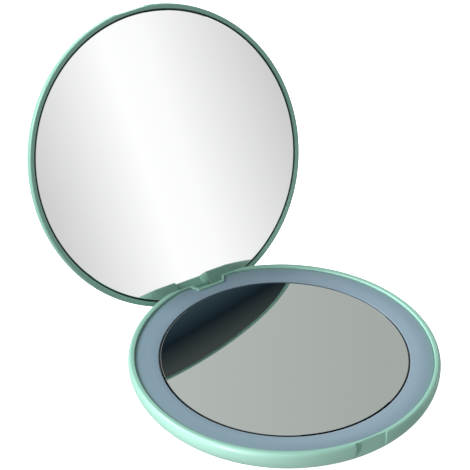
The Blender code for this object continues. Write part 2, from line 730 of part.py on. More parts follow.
def make_lid_shell(mint, lid):
    shell = place(turned_mesh("lid_shell", lid_profile(), TURN_SEGMENTS), mint, lid)
    wall_half = math.sqrt(lid_recess_radius**2 - back_rim_inner**2) + OVERRUN
    wall = rectangle(-wall_half, wall_half, back_rim_inner, chord_y)
    wall_top = lid_ledge_z + SEAT_GAP
    combine(shell, prism_mesh("lid_back_wall_tool", [wall], lid_rim_z, wall_top), "UNION", lid)
    knuckle_half = NOTCH_INNER_HALF + KNUCKLE_SIDE_GAP / 2
    knuckle = hinge_cylinder("knuckle_tool", KNUCKLE_RADIUS, -knuckle_half, knuckle_half)
    web_front = hinge_y - WEB_FRONT
    web_back = chord_y - WEB_BACK_GAP
    web_low = hinge_z
    web_shelf = lid_rim_z
    web_root = lid_ledge_z
    wall_front = back_rim_inner
    web = [
        (web_front, web_low),
        (web_back, web_low),
        (web_back, web_root),
        (wall_front + WEB_BACK_GAP, web_root),
        (wall_front + WEB_BACK_GAP, web_shelf),
        (web_front, web_shelf),
    ]
    combine(shell, prism_mesh("web_tool", [web], -knuckle_half, knuckle_half, axis="X"), "UNION", lid)
    combine(shell, knuckle, "UNION", lid)
    tooth = [
        closed_place(notch_inner_y + STOP_GAP, hinge_z),
        closed_place(notch_inner_y + STOP_GAP, hinge_z - STOP_HEIGHT),
        closed_place(hinge_y, hinge_z - STOP_HEIGHT / 2),
        closed_place(hinge_y, hinge_z),
    ]
    tooth_half = NOTCH_INNER_HALF - SEAT_GAP
    combine(shell, prism_mesh("tooth_tool", [tooth], -tooth_half, tooth_half, axis="X"), "UNION", lid)
    place_on_lid = (0.0, -magnet_pitch)
    boss = circles([place_on_lid], boss_radius, SMALL_SEGMENTS)
    boss_top = lid_ceiling + LID_WALL / 2
    combine(shell, prism_mesh("lid_boss_tool", boss, lid_rib_z, boss_top), "UNION", lid)
    combine(shell, back_cut("lid_back_cut"), "DIFFERENCE", lid)
    bore_half = knuckle_half + OVERRUN
    bore = hinge_cylinder("knuckle_bore_cut", PIN_RADIUS + PIN_CLEARANCE, -bore_half, bore_half)
    combine(shell, bore, "DIFFERENCE", lid)
    thumb = thumb_cut("lid_thumb_cut", LID_THUMB_DEPTH, lid_rim_z - OVERRUN, lid_top + OVERRUN)
    combine(shell, thumb, "DIFFERENCE", lid)
    outline = circles([place_on_lid], MAGNET_RADIUS + SEAT_GAP, SMALL_SEGMENTS)
    pocket = prism_mesh("lid_pocket_cut", outline, lid_rib_z - OVERRUN, lid_ceiling)
    combine(shell, pocket, "DIFFERENCE", lid)


def make_lid_mirror(silver, foam, lid):
    profile = bevelled_glass(lid_mirror_radius, lid_glass_top, lid_glass_z)
    glass = place(turned_mesh("lid_mirror", profile, TURN_SEGMENTS), silver, lid)
    reach = outer_radius + OVERRUN
    back = rectangle(-reach, reach, back_rim_inner - SEAT_GAP, reach)
    cut = prism_mesh("lid_mirror_back_cut", [back], lid_rim_z - OVERRUN, lid_top)
    combine(glass, cut, "DIFFERENCE", lid)
    tape = [
        (LID_RIB_RADIUS - LID_TAPE_WIDTH / 2, lid_tape_z),
        (LID_RIB_RADIUS + LID_TAPE_WIDTH / 2, lid_tape_z),
        (LID_RIB_RADIUS + LID_TAPE_WIDTH / 2, lid_tape_z + LID_TAPE_THICKNESS),
        (LID_RIB_RADIUS - LID_TAPE_WIDTH / 2, lid_tape_z + LID_TAPE_THICKNESS),
    ]
    place(turned_mesh("lid_mirror_tape", tape, CELL_SEGMENTS), foam, lid)


def lid_frame():
    """Empty on the hinge line; its turn holds the lid at the open stop."""
    empty = bpy.data.objects.new("lid_hinge", None)
    bpy.context.scene.collection.objects.link(empty)
    empty.location = (0.0, hinge_y, hinge_z)
    empty.rotation_euler = (-open_angle, 0.0, 0.0)
    return {"empty": empty, "pivot": Vector((0.0, hinge_y, hinge_z))}


def main():
    clear_scene()
    mint = make_material("mint_plastic", (0.30, 0.58, 0.48), 0.35)
    white = make_material("white_plastic", (0.85, 0.85, 0.83), 0.45)
    milky = make_material("milky_plastic", (0.45, 0.55, 0.62), 0.20)
    silver = make_material("mirror_silver", (0.86, 0.88, 0.88), 0.03, 1.0)
    steel = make_material("bright_steel", (0.62, 0.62, 0.64), 0.30, 1.0)
    nickel = make_material("nickel_sheet", (0.70, 0.66, 0.58), 0.30, 1.0)
    foam = make_material("foam_tape", (0.82, 0.82, 0.80), 0.90)
    board_green = make_material("board_white", (0.78, 0.80, 0.78), 0.50)
    led_white = make_material("led_phosphor", (0.90, 0.86, 0.55), 0.40)
    chip_black = make_material("chip_black", (0.02, 0.02, 0.02), 0.45)
    resistor_dark = make_material("resistor_dark", (0.05, 0.05, 0.06), 0.50)
    magnet_grey = make_material("magnet_plate", (0.45, 0.45, 0.47), 0.35, 1.0)
    red = make_material("red_insulation", (0.55, 0.03, 0.03), 0.50)
    black = make_material("black_insulation", (0.03, 0.03, 0.03), 0.50)
    lid = lid_frame()
    make_base_shell(mint)
    make_tray(white)
    make_cells(steel)
    make_contacts(nickel)
    make_door(mint)
    make_screws(steel)
    make_light_board(board_green, led_white, chip_black, resistor_dark)
    make_diffuser(milky)
    make_base_mirror(silver, foam)
    make_hinge_pin(steel)
    make_magnet("base_magnet", FLOOR + SEAT_GAP, BASE_MAGNET_HEIGHT, magnet_grey)
    make_leads(red, black)
    make_lid_shell(mint, lid)
    make_lid_mirror(silver, foam, lid)
    lid_magnet_z = lid_ceiling - SEAT_GAP - LID_MAGNET_HEIGHT
    make_magnet("lid_magnet", lid_magnet_z, LID_MAGNET_HEIGHT, magnet_grey, lid)
    bpy.context.view_layer.update()


main()
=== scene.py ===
import json
import math

import bpy
from bpy.props import FloatProperty, FloatVectorProperty, PointerProperty
from mathutils import Matrix, Quaternion, Vector


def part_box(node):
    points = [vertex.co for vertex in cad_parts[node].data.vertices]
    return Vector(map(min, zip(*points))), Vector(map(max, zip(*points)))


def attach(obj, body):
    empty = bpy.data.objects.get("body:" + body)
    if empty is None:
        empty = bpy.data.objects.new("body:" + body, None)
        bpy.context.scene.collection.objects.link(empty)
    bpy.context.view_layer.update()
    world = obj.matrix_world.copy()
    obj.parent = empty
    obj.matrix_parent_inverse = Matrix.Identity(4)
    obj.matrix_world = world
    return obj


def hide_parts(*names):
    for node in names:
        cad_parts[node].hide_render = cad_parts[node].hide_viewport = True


bl_info = {
    "name": "Folding Lighted Makeup Mirror",
    "version": (1, 0, 0),
    "blender": (4, 5, 0),
    "location": "3D View > Sidebar > Makeup Mirror",
    "description": "Builds the cases, mirrors, light ring and studio of a folding lighted makeup mirror",
    "category": "Object",
}

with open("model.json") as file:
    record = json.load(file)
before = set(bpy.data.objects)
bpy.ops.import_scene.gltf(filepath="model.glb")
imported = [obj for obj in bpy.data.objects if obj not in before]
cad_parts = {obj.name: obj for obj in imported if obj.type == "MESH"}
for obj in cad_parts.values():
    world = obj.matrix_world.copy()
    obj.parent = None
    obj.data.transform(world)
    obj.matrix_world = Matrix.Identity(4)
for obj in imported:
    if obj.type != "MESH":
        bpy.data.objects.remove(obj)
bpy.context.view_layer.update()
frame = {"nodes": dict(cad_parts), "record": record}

MM = 0.001
FULL_CIRCLE = 192
ARC_STEPS = 4
SHOULDER_STEPS = 8

# The hinge line, and the angle from shut at which the lid stands open.
# The lid's pieces are shaped shut and turned to that angle.
LID_HINGE = next(joint for joint in frame["record"]["behaviour"]["joints"] if joint["name"] == "lid_hinge")
HINGE_LINE = Vector(LID_HINGE["pos_m"])
HINGE_Y, HINGE_Z = HINGE_LINE.y / MM, HINGE_LINE.z / MM
OPEN_ANGLE = math.radians(117.5)
SHELL_LOW, SHELL_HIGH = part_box("base_shell")

# Fixed details, in millimetres with the case shut
BESIDE, BEHIND, BELOW, ABOVE = 50, 46, -1, 16  # bounds outside the case, for cuts that go right through
PAST = 1  # how far a smaller cut passes a face
DOOR_BORE, DOOR_SEAT, SEAT_TOP = 22.2, 24.9, 0.9  # opening and recess for the battery door
BAY_WALL, BAY_TOP = 25.7, 1.6  # thicker floor round the opening
TRAY_WALL_IN, TRAY_WALL_OUT, TRAY_WALL_TOP = 36.9, 37.9, 3.7  # low wall round the tray
TRAY_WALL_FOOT = 1.17  # where that wall meets the dished floor
LEDGE_DROP, LEDGE_WIDTH = 0.3, 0.7  # ledge under the light ring
WALL_INSET, WALL_START = 0.3, 38.0  # inside of the dished wall
POST_REACH, POST_RADIUS, POST_TOP = 29.0, 2.1, 4.5  # posts for the tray's screws
PILOT_RADIUS, PILOT_TOP = 1.1, 5.5  # holes in the posts
MAGNET_Y, BOSS_RADIUS, POCKET_RADIUS = -29.4, 3.1, 2.3  # seats of both magnets
BASE_BOSS_TOP, BASE_POCKET_TOP = 3.3, 4.3
LID_BOSS_LOW, LID_BOSS_TOP, LID_POCKET_LOW, LID_POCKET_TOP = 11.1, 13.3, 10.0, 12.7
EAR_FRONT, EAR_LOW, EAR_TOP = 37.8, 0.8, 7.0  # block that carries the pin
EAR_SLOPE, EAR_SLOPE_START = 2.6, 41.0  # rise of its underside at the back
BACK_WALL, BACK_RIM_LOW = 0.6, 6.5  # flat back of both shells, and the foot of the base's rim there
NOTCH_END, NOTCH_TAPER = 45.0, 0.5  # the hinge notch widens by half its depth
EDGE_CHAMFER = 0.21  # half width of the bevel on the base's back edge
PIN_PLAY = 0.1  # gap round the pin
PIN_HALF, BORE_BLIND, BORE_OPEN = 8.5, -8.8, 44  # the pin's half length, and the ends of its bore in the ears
DOOR_FACE, DOOR_TOP, FLANGE_TOP = 16.0, 1.0, 0.6  # battery door's disc
COLLAR_OUT, COLLAR_IN, COLLAR_TOP = 21.9, 20.9, 2.6  # its collar, which carries the lugs
LUG_TURNS, DOOR_TWIST = (90.0, 210.0, 330.0), 40.0  # middles of the lugs, and their twist, in degrees
# Lugs and their openings: spread in degrees, radius and height of the middle, width and height of the section
LUG_SPREAD, LUG_PLACE, LUG_SECTION = 24.0, (22.65, 2.25), (2.5, 0.7)
OPENING_SPREAD, OPENING_PLACE, OPENING_SECTION = 29.0, (22.7, 1.25), (3.0, 1.4)
LID_INNER_TOP, LID_SEAT = 12.7, 10.5  # inside of the lid's crown, and what the mirror's tape rests on
CROWN_RIB_OUT, CROWN_RIB_IN, CROWN_RIB_LOW = 21.0, 19.0, 11.1  # rib inside the crown
LID_BACK_HALF, LID_BACK_TOP = 11.4, 10.8  # flat back of the lid
KNUCKLE_PLAY = 0.2  # by which the knuckle is wider than the notch's inner end
KNUCKLE_BORE_HALF = 6  # half length of the cut for the bore, past both ends of the knuckle
FOOT_FRONT, WEB_FRONT, WEB_LOW, FOOT_BACK = 0.2, 0.5, 8.0, 0.1  # what joins the knuckle to the lid's back
TOOTH_PLAY, TOOTH_GAP, TOOTH_DROP, TOOTH_RISE = 0.3, 0.1, 1.2, 0.6  # stop tooth in the hinge notch
LID_GLASS_SET = 0.3  # by which the lid mirror lies behind the rim
GLASS_BACK = 40.9  # straight back edge of the lid mirror
GLASS_THICKNESS = 1.2
RING_BACK, RING_GAP = 41.1, 0.5  # light ring's back edge, and its gap round the notch
REBATE_FRONT, REBATE_DEPTH, REBATE_PLAY = 37.5, 0.5, 0.3  # step under the ring for the hinge block
SLOT_NEAR, SLOT_FAR, SLOT_HALF, SLOT_DEPTH = 4.0, 12.0, 0.9, 0.6  # coin slots of the battery door

FLOOR_DROP = 0.1 * MM  # the floor lies just under the foot
LIGHT_AIM = (0.0, 0.0, 0.03)  # point that the soft lights face, in metres
SHARP_ANGLE = 38.0  # edges sharper than this, in degrees, are rounded
LOW_LIGHT_TINT = (1.0, 0.80, 0.86)
LOW_LIGHT_RIGHT = 0.26  # power of the right low light against the left one
SHADE_LINE_BASE, SHADE_LINE_LID, SHADE_LINE_FADE = 0.2 * MM, 0.22 * MM, 0.12 * MM  # painted shade: dark line round the mirrors, its width on each mirror and its fade
# Colour of the painted shade line round the mirrors
SHADE_LINE_COLOUR = (0.030, 0.045, 0.045)

# Camera place in metres, and its right, up and backward directions
CAMERA_PLACE = (-0.39411262, -0.58388480, 0.55499763)
CAMERA_AXES = (
    (0.84520609, -0.53427742, 0.01320262),
    (0.30245524, 0.49854743, 0.81238617),
    (-0.44062171, -0.68264053, 0.58297033),
)

# Tones of the reflection cards: place along the card's width, and the light it gives there
CARD_WHITE = (
    (0.39, (0.64, 0.63, 0.64)),
    (0.49, (1.06, 1.05, 1.06)),
    (0.525, (1.10, 1.09, 1.10)),
    (0.62, (0.66, 0.65, 0.66)),
)
CARD_GREY = (
    (0.47, (0.49, 0.52, 0.50)),
    (0.56, (0.41, 0.44, 0.42)),
)
CARD_DARK = (
    (0.41, (0.05, 0.06, 0.06)),
    (0.426, (0.007, 0.014, 0.02)),
    (0.443, (0.035, 0.063, 0.08)),
)

# Starts of the names of the inner pieces, and the finish of each
INNER_FINISHES = (
    ("led_tray", "white"),
    ("led_board", "board"),
    ("led_0", "phosphor"),
    ("led_1", "phosphor"),
    ("hall_sensor", "chip"),
    ("driver_chip", "chip"),
    ("resistor", "resistor"),
    ("battery_cell", "cell"),
    ("contact_", "nickel"),
    ("door_bridge", "nickel"),
    ("tray_screw", "steel"),
    ("base_magnet", "magnet"),
    ("lid_magnet", "magnet"),
    ("lead_red", "red"),
    ("lead_black", "black"),
    ("base_mirror_tape", "foam"),
    ("lid_mirror_tape", "foam"),
)
FINISHES = {}


def in_mm(length):
    return length / MM


def size(default_mm, name, description):
    return FloatProperty(
        name=name,
        description=description,
        default=default_mm * MM,
        min=0.0,
        precision=5,
        subtype="DISTANCE",
        unit="LENGTH",
    )


def share(default, name, description):
    return FloatProperty(
        name=name, description=description, default=default, min=0.0, max=1.0, subtype="FACTOR"
    )


def colour(default, name, description):
    return FloatVectorProperty(
        name=name, description=description, default=default, size=3, min=0.0, max=1.0, subtype="COLOR"
    )


def amount(default, name, description):
    return FloatProperty(name=name, description=description, default=default)


class CompactSizes(bpy.types.PropertyGroup):
    """Lengths of the shells and what sits in them, with the lid closed"""

    outer_radius: size(SHELL_HIGH.x / MM, "Outer radius", "Widest radius of both shells")
    back_line: size(SHELL_HIGH.y / MM, "Back line", "Distance from the centre to the flat back")
    rim_top: size(SHELL_HIGH.z / MM, "Rim height", "Top of the base's rim above the table")
    rim_inner: size(42.2, "Rim inner radius", "Inside of the rim round the light ring")
    rim_round: size(0.9, "Rim rounding", "Width of the rim's rounded shoulder")
    lid_round: size(0.45, "Lid edge rounding", "Rounding of the lid's rim at its outer edge")
    rim_drop: size(1.5, "Rim shoulder", "Height of the rim's rounded shoulder")
    foot_radius: size(37.0, "Foot radius", "Edge of the flat underside")
    floor: size(1.0, "Floor thickness", "Thickness of the base's floor")
    edge_soften: size(0.12, "Edge softening", "Width of the small rounding on cut edges")
    ear_reach: size(9.5, "Ear reach", "Half width of the block that carries the hinge pin")
    notch_inner: size(4.0, "Notch inner half", "Half width of the hinge notch at its inner end")
    notch_back: size(39.2, "Notch inner end", "Distance from the centre to the notch")
    notch_lip: size(0.4, "Notch lip", "Wall left round the hinge notch")
    thumb_half: size(5.0, "Thumb notch half width", "Half width of the thumb notches")
    base_thumb: size(1.2, "Base thumb notch", "Depth of the thumb notch in the base")
    lid_thumb: size(0.6, "Lid thumb notch", "Depth of the thumb notch in the lid")
    diffuser_inner: size(35.4, "Light ring inner radius", "Inner edge of the light ring")
    diffuser_outer: size(42.1, "Light ring outer radius", "Outer edge of the light ring")
    glass_low: size(6.6, "Base glass underside", "Height of the base mirror's back")
    glass_top: size(7.8, "Base glass face", "Height of the base mirror's face")
    base_glass: size(35.1, "Base glass radius", "Radius of the base mirror")
    lid_glass: size(42.2, "Lid glass radius", "Radius of the lid mirror")
    ground_edge: size(0.35, "Ground edge width", "Width of the slope ground on the mirrors' edges")
    ground_drop: size(0.15, "Ground edge drop", "Depth of the slope ground on the mirrors' edges")
    lid_rim: size(8.7, "Lid rim height", "Face of the lid's rim when closed")
    lid_wide: size(10.2, "Lid widest height", "Widest line of the lid when closed")
    lid_top: size(13.9, "Lid top", "Outside of the lid when closed")
    lid_flat: size(30.0, "Lid flat radius", "Edge of the lid's flat crown")
    lid_recess: size(42.5, "Lid recess radius", "Pocket that holds the lid mirror")
    knuckle_radius: size(1.0, "Knuckle radius", "Outside of the lid's hinge knuckle")
    pin_radius: size(0.4, "Pin radius", "Radius of the hinge pin")
    door_radius: size(24.6, "Battery door radius", "Radius of the battery door's flange")


class CompactColours(bpy.types.PropertyGroup):
    """Colours and finishes of the visible materials"""

    mint: colour((0.232, 0.460, 0.372), "Mint plastic", "Body of both shells")
    milky: colour((0.194, 0.282, 0.344), "Light ring", "Middle of the unlit light ring")
    # Painted reflection of the green rim on the light ring's outer edge
    milky_edge_rim_reflection: colour((0.172, 0.292, 0.304), "Light ring edge", "Outer edge of the light ring")
    silver: colour((0.900, 0.915, 0.905), "Mirror silver", "Reflecting layer of both mirrors")
    gloss: share(0.36, "Shell roughness", "Roughness of the mint plastic")


class StudioSettings(bpy.types.PropertyGroup):
    """Floor, cards and lights of the studio"""

    floor_size: FloatProperty(
        name="Floor size",
        description="Width of the pale floor",
        default=30.0,
        subtype="DISTANCE",
        unit="LENGTH",
    )
    glow: amount(1.0, "Floor glow", "Light given off by the lit paper of the floor")
    ambient: amount(0.43, "Ambient", "Brightness of the surrounding light")
    key: amount(62.0, "Key light", "Power of the large soft light on the left, in watts")
    low: amount(108.0, "Low light", "Power of the narrow low light on the base's left, in watts")
    side: amount(5.0, "Side light", "Power of the soft light on the right, in watts")
    fill: amount(13.0, "Back light", "Power of the soft light behind the lid, in watts")
    lens: amount(242.817, "Lens", "Focal length of the camera, in millimetres")


def deselect_all():
    if bpy.context.object is not None and bpy.context.object.mode != "OBJECT":
        bpy.ops.object.mode_set(mode="OBJECT")
    bpy.ops.object.select_all(action="DESELECT")


def start_piece(name):
    """Names the primitive just added and puts its place into its mesh."""
    piece = bpy.context.object
    piece.name = piece.data.name = name
    bpy.ops.object.transform_apply(location=True, rotation=True, scale=True)
    return piece


def pick(piece, test):
    """In edit mode, selects only the vertices whose place passes a test."""
    bpy.ops.object.mode_set(mode="OBJECT")
    mesh = piece.data
    for group in (mesh.vertices, mesh.edges, mesh.polygons):
        group.foreach_set("select", [False] * len(group))
    for vert in mesh.vertices:
        vert.select = test(vert.co)
    bpy.ops.object.mode_set(mode="EDIT")
    bpy.ops.mesh.select_mode(type="VERT")


def shift_picked(piece, test, rise):
    """Lifts the vertices of a piece that pass a test, by a rise in millimetres."""
    pick(piece, test)
    bpy.ops.transform.translate(value=(0.0, 0.0, rise * MM))
    bpy.ops.object.mode_set(mode="OBJECT")


def turned(name, profile, closed=True):
    """A circle drawn out ring by ring along a profile of (radius, height), as on a lathe."""
    deselect_all()
    radius, height = profile[0]
    bpy.ops.mesh.primitive_circle_add(vertices=FULL_CIRCLE, radius=radius, location=(0.0, 0.0, height))
    piece = start_piece(name)
    bpy.ops.object.mode_set(mode="EDIT")
    bpy.ops.mesh.select_mode(type="VERT")
    bpy.ops.mesh.select_all(action="SELECT")
    for (near, low), (far, high) in zip(profile, profile[1:]):
        bpy.ops.mesh.extrude_region_move(TRANSFORM_OT_translate={"value": (0.0, 0.0, high - low)})
        bpy.ops.transform.resize(value=(far / near, far / near, 1.0), center_override=(0.0, 0.0, high))
    bpy.ops.mesh.select_mode(type="EDGE")
    bpy.ops.mesh.select_all(action="DESELECT")
    bpy.ops.mesh.select_non_manifold()
    if closed:
        bpy.ops.mesh.bridge_edge_loops()
    else:
        cap_ends(piece, profile)
    bpy.ops.mesh.select_all(action="SELECT")
    bpy.ops.mesh.normals_make_consistent(inside=False)
    bpy.ops.object.mode_set(mode="OBJECT")
    return piece


def cap_ends(piece, profile):
    """Fills the first and the last ring of a turned piece."""
    for radius, height in (profile[0], profile[-1]):
        near = 1e-6
        pick(piece, lambda p: abs(p.z - height) < near and abs(p.xy.length - radius) < near)
        bpy.ops.mesh.edge_face_add()


def rounded(corners):
    """Profile from (radius, height, rounding) corners in millimetres, each rounded corner drawn as an arc."""
    points = []
    for place, (x, z, rounding) in enumerate(corners):
        here = Vector((x, z))
        if rounding == 0:
            points.append(here)
            continue
        before = Vector(corners[place - 1][:2]) - here
        after = Vector(corners[(place + 1) % len(corners)][:2]) - here
        half = before.angle(after) / 2
        reach = rounding / math.tan(half)
        middle = here + (before.normalized() + after.normalized()).normalized() * (rounding / math.sin(half))
        start = here + before.normalized() * reach - middle
        end = here + after.normalized() * reach - middle
        turn = start.angle_signed(end)
        for step in range(ARC_STEPS + 1):
            spoke = start.copy()
            spoke.rotate(Matrix.Rotation(-turn * step / ARC_STEPS, 2))
            points.append(middle + spoke)
    return [(point.x * MM, point.y * MM) for point in points]


def dished(flat, wide, flat_level, wide_level, exponent, steps):
    """Dished wall from a flat at one radius to upright at a wider one, in millimetres, without rounding."""
    corners = []
    for step in range(steps + 1):
        part = math.sin(math.pi / 2 * step / steps) ** (2.0 / exponent)
        rise = (1.0 - part**exponent) ** (1.0 / exponent) if part < 1.0 else 0.0
        corners.append((flat + (wide - flat) * part, wide_level + (flat_level - wide_level) * rise, 0))
    return corners


def shoulder(outer, width, wide_level, rim_level):
    """Rounded shoulder from the widest line to the rim's face, in millimetres."""
    corners = []
    for step in range(1, SHOULDER_STEPS + 1):
        turn = math.pi / 2 * step / SHOULDER_STEPS
        radius = outer - width * (1.0 - math.cos(turn))
        corners.append((radius, wide_level + (rim_level - wide_level) * math.sin(turn), 0))
    return corners


def block(name, low, high):
    """A box between two corners in millimetres, for shaping further."""
    deselect_all()
    low, high = Vector(low) * MM, Vector(high) * MM
    bpy.ops.mesh.primitive_cube_add(size=1.0, location=(low + high) / 2, scale=high - low)
    return start_piece(name)


def rod(name, radius, start, end, around):
    """A cylinder between two points in millimetres, with a number of flats around."""
    deselect_all()
    start, end = Vector(start) * MM, Vector(end) * MM
    run = end - start
    turn = run.to_track_quat("Z", "Y").to_euler()
    bpy.ops.mesh.primitive_cylinder_add(
        vertices=around, radius=radius * MM, depth=run.length, location=(start + end) / 2, rotation=turn
    )
    return start_piece(name)


def combine(piece, tool, operation):
    """Joins a tool to a piece, or cuts it away, and removes the tool."""
    deselect_all()
    bpy.context.view_layer.objects.active = piece
    piece.select_set(True)
    change = piece.modifiers.new(tool.name, "BOOLEAN")
    change.operation = operation
    change.solver = "EXACT"
    change.object = tool
    bpy.ops.object.modifier_apply(modifier=change.name)
    mesh = tool.data
    bpy.data.objects.remove(tool)
    bpy.data.meshes.remove(mesh)


def soften(piece, width, segments=2):
    """Clears slivers left by the cuts, then rounds every sharp edge a little."""
    deselect_all()
    bpy.context.view_layer.objects.active = piece
    piece.select_set(True)
    bpy.ops.object.mode_set(mode="EDIT")
    bpy.ops.mesh.select_all(action="SELECT")
    sliver = width * 0.25
    bpy.ops.mesh.remove_doubles(threshold=sliver)
    bpy.ops.mesh.dissolve_degenerate(threshold=sliver)
    bpy.ops.object.mode_set(mode="OBJECT")
    bevel = piece.modifiers.new("edge_rounding", "BEVEL")
    bevel.width = width
    bevel.segments = segments
    bevel.limit_method = "ANGLE"
    bevel.angle_limit = math.radians(SHARP_ANGLE)
    bevel.use_clamp_overlap = True
    bpy.ops.object.modifier_apply(modifier=bevel.name)


def finish_piece(piece, material, body, *nodes, slot, smooth=32.0):
    """Shades a piece, gives it its material and hangs it on its body in place of the nodes it stands for."""
    deselect_all()
    bpy.context.view_layer.objects.active = piece
    piece.select_set(True)
    bpy.ops.object.shade_smooth_by_angle(angle=math.radians(smooth))
    piece.data.materials.clear()
    piece.data.materials.append(material)
    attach(piece, body)
    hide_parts(*nodes)


def turn_piece(piece, angle, middle):
    """Turns a whole mesh about a line along X through a point; the lid opens with a positive angle."""
    deselect_all()
    bpy.context.view_layer.objects.active = piece
    piece.select_set(True)
    bpy.ops.object.mode_set(mode="EDIT")
    bpy.ops.mesh.select_all(action="SELECT")
    bpy.ops.transform.rotate(value=angle, orient_axis="X", orient_type="GLOBAL", center_override=middle)
    bpy.ops.object.mode_set(mode="OBJECT")


def notch_tool(name, s, margin, low, high):
    """Tapered block between the ears, wider towards the back."""
    half, start = in_mm(s.notch_inner) + margin, in_mm(s.notch_back) - margin
    tool = block(name, (-half, start, low), (half, NOTCH_END, high))
    pick(tool, lambda p: p.y > (NOTCH_END - PAST) * MM)
    widening = (half + NOTCH_TAPER * (NOTCH_END - start)) / half
    bpy.ops.transform.resize(value=(widening, 1.0, 1.0), center_override=(0.0, NOTCH_END * MM, 0.0))
    bpy.ops.object.mode_set(mode="OBJECT")
    return tool


def swept_block(name, middle, spread, place, section):
    """A rectangle swept round the door's axis through a spread of degrees about a middle.

    The place is the rectangle's radius and height, and the section its width and height.
    """
    deselect_all()
    (radius, height), (width, depth) = place, section
    start = (radius * MM, 0.0, height * MM)
    bpy.ops.mesh.primitive_plane_add(size=1.0, location=start, rotation=(math.pi / 2, 0.0, 0.0))
    bpy.context.object.scale = (width * MM, depth * MM, 1.0)
    piece = start_piece(name)
    bpy.ops.object.mode_set(mode="EDIT")
    bpy.ops.mesh.select_all(action="SELECT")
    turn, axis = -math.radians(middle - spread / 2), (0.0, 0.0, 0.0)
    bpy.ops.transform.rotate(value=turn, orient_axis="Z", orient_type="GLOBAL", center_override=axis)
    bpy.ops.mesh.spin(steps=8, angle=-math.radians(spread), center=axis, axis=(0.0, 0.0, 1.0))
    bpy.ops.mesh.select_all(action="SELECT")
    bpy.ops.mesh.remove_doubles(threshold=1e-7)
    bpy.ops.mesh.normals_make_consistent(inside=False)
    bpy.ops.object.mode_set(mode="OBJECT")
    return piece


def thumb_cut(s, depth, low, high):
    """Block that cuts the thumb notch out of the front of a shell."""
    half, outer = in_mm(s.thumb_half), in_mm(s.outer_radius)
    return block("thumb_cut", (-half, -outer - PAST, low), (half, depth - outer, high))


def back_cut(name, start, low=BELOW, high=ABOVE):
    """Block that cuts a piece off straight at the back."""
    return block(name, (-BESIDE, start, low), (BESIDE, BEHIND, high))


def pin_rod(name, radius, start, end, around):
    """A rod along the hinge line between two places across the case."""
    return rod(name, radius, (start, HINGE_Y, HINGE_Z), (end, HINGE_Y, HINGE_Z), around)


def magnet_seat(piece, boss_low, boss_top, pocket_low, pocket_top):
    """Adds the boss behind the thumb notch and its pocket for a magnet."""
    boss = rod("magnet_boss", BOSS_RADIUS, (0, MAGNET_Y, boss_low), (0, MAGNET_Y, boss_top), 40)
    combine(piece, boss, "UNION")
    pocket = rod("magnet_pocket", POCKET_RADIUS, (0, MAGNET_Y, pocket_low), (0, MAGNET_Y, pocket_top), 40)
    combine(piece, pocket, "DIFFERENCE")


def new_finish(name):
    """A new material with its node tree and its main shader."""
    material = bpy.data.materials.new(name)
    material.use_nodes = True
    return material, material.node_tree, material.node_tree.nodes["Principled BSDF"]


def settle(shader, **values):
    """Sets constants on the shader's own sockets."""
    for socket, value in values.items():
        shader.inputs[socket.replace("_", " ").title().replace("Ior", "IOR")].default_value = value


def piece_place(tree):
    """Place on the piece itself, so that a finish turns with its piece."""
    return tree.nodes.new("ShaderNodeTexCoord").outputs["Object"]


def noise(tree, place, scale, detail=2.0):
    """Soft random patches, finer with a larger scale."""
    node = tree.nodes.new("ShaderNodeTexNoise")
    node.inputs["Scale"].default_value = scale
    node.inputs["Detail"].default_value = detail
    tree.links.new(place, node.inputs["Vector"])
    return node.outputs["Fac"]


def ranged(tree, value, low, high, start=0.3, end=0.7):
    """Stretches a value that runs from start to end so that it runs from low to high."""
    node = tree.nodes.new("ShaderNodeMapRange")
    node.inputs["From Min"].default_value = start
    node.inputs["From Max"].default_value = end
    node.inputs["To Min"].default_value = low
    node.inputs["To Max"].default_value = high
    tree.links.new(value, node.inputs["Value"])
    return node.outputs["Result"]


def blended(tree, factor, first, second):
    """Mixes two colours, each given as three numbers or as another node's output."""
    node = tree.nodes.new("ShaderNodeMix")
    node.data_type = "RGBA"
    tree.links.new(factor, node.inputs["Factor"])
    for socket, value in ((node.inputs[6], first), (node.inputs[7], second)):
        if hasattr(value, "is_linked"):
            tree.links.new(value, socket)
        else:
            socket.default_value = (*value, 1.0)
    return node.outputs[2]


def tinted(base, factor):
    """A lighter or darker tone of a colour."""
    return tuple(min(channel * factor, 1.0) for channel in base)


def grain(tree, shader, height, distance):
    """Fine relief of the surface, with its depth in metres."""
    node = tree.nodes.new("ShaderNodeBump")
    node.inputs["Strength"].default_value = 1.0
    node.inputs["Distance"].default_value = distance
    tree.links.new(height, node.inputs["Height"])
    tree.links.new(node.outputs["Normal"], shader.inputs["Normal"])


def distance_from_axis(tree, place):
    """Distance of a point from the vertical middle line of the base."""
    split = tree.nodes.new("ShaderNodeSeparateXYZ")
    tree.links.new(place, split.inputs["Vector"])
    flat = tree.nodes.new("ShaderNodeCombineXYZ")
    tree.links.new(split.outputs["X"], flat.inputs["X"])
    tree.links.new(split.outputs["Y"], flat.inputs["Y"])
    length = tree.nodes.new("ShaderNodeVectorMath")
    length.operation = "LENGTH"
    tree.links.new(flat.outputs["Vector"], length.inputs[0])
    return length.outputs["Value"]


def moulded_plastic(name, base, roughness, variation=0.02, bump=0.0000025):
    """Moulded plastic: slight shifts of tone and gloss, and the fine texture of a mould."""
    material, tree, shader = new_finish(name)
    settle(shader, specular_ior_level=0.35)
    place = piece_place(tree)
    tone = ranged(tree, noise(tree, place, 55.0, 3.0), 0.0, 1.0)
    tones = blended(tree, tone, tinted(base, 1.0 - variation), tinted(base, 1.0 + variation))
    tree.links.new(tones, shader.inputs["Base Color"])
    fine = noise(tree, place, 900.0)
    tree.links.new(ranged(tree, fine, roughness * 0.88, roughness * 1.12), shader.inputs["Roughness"])
    grain(tree, shader, noise(tree, place, 2600.0), bump)
    return material


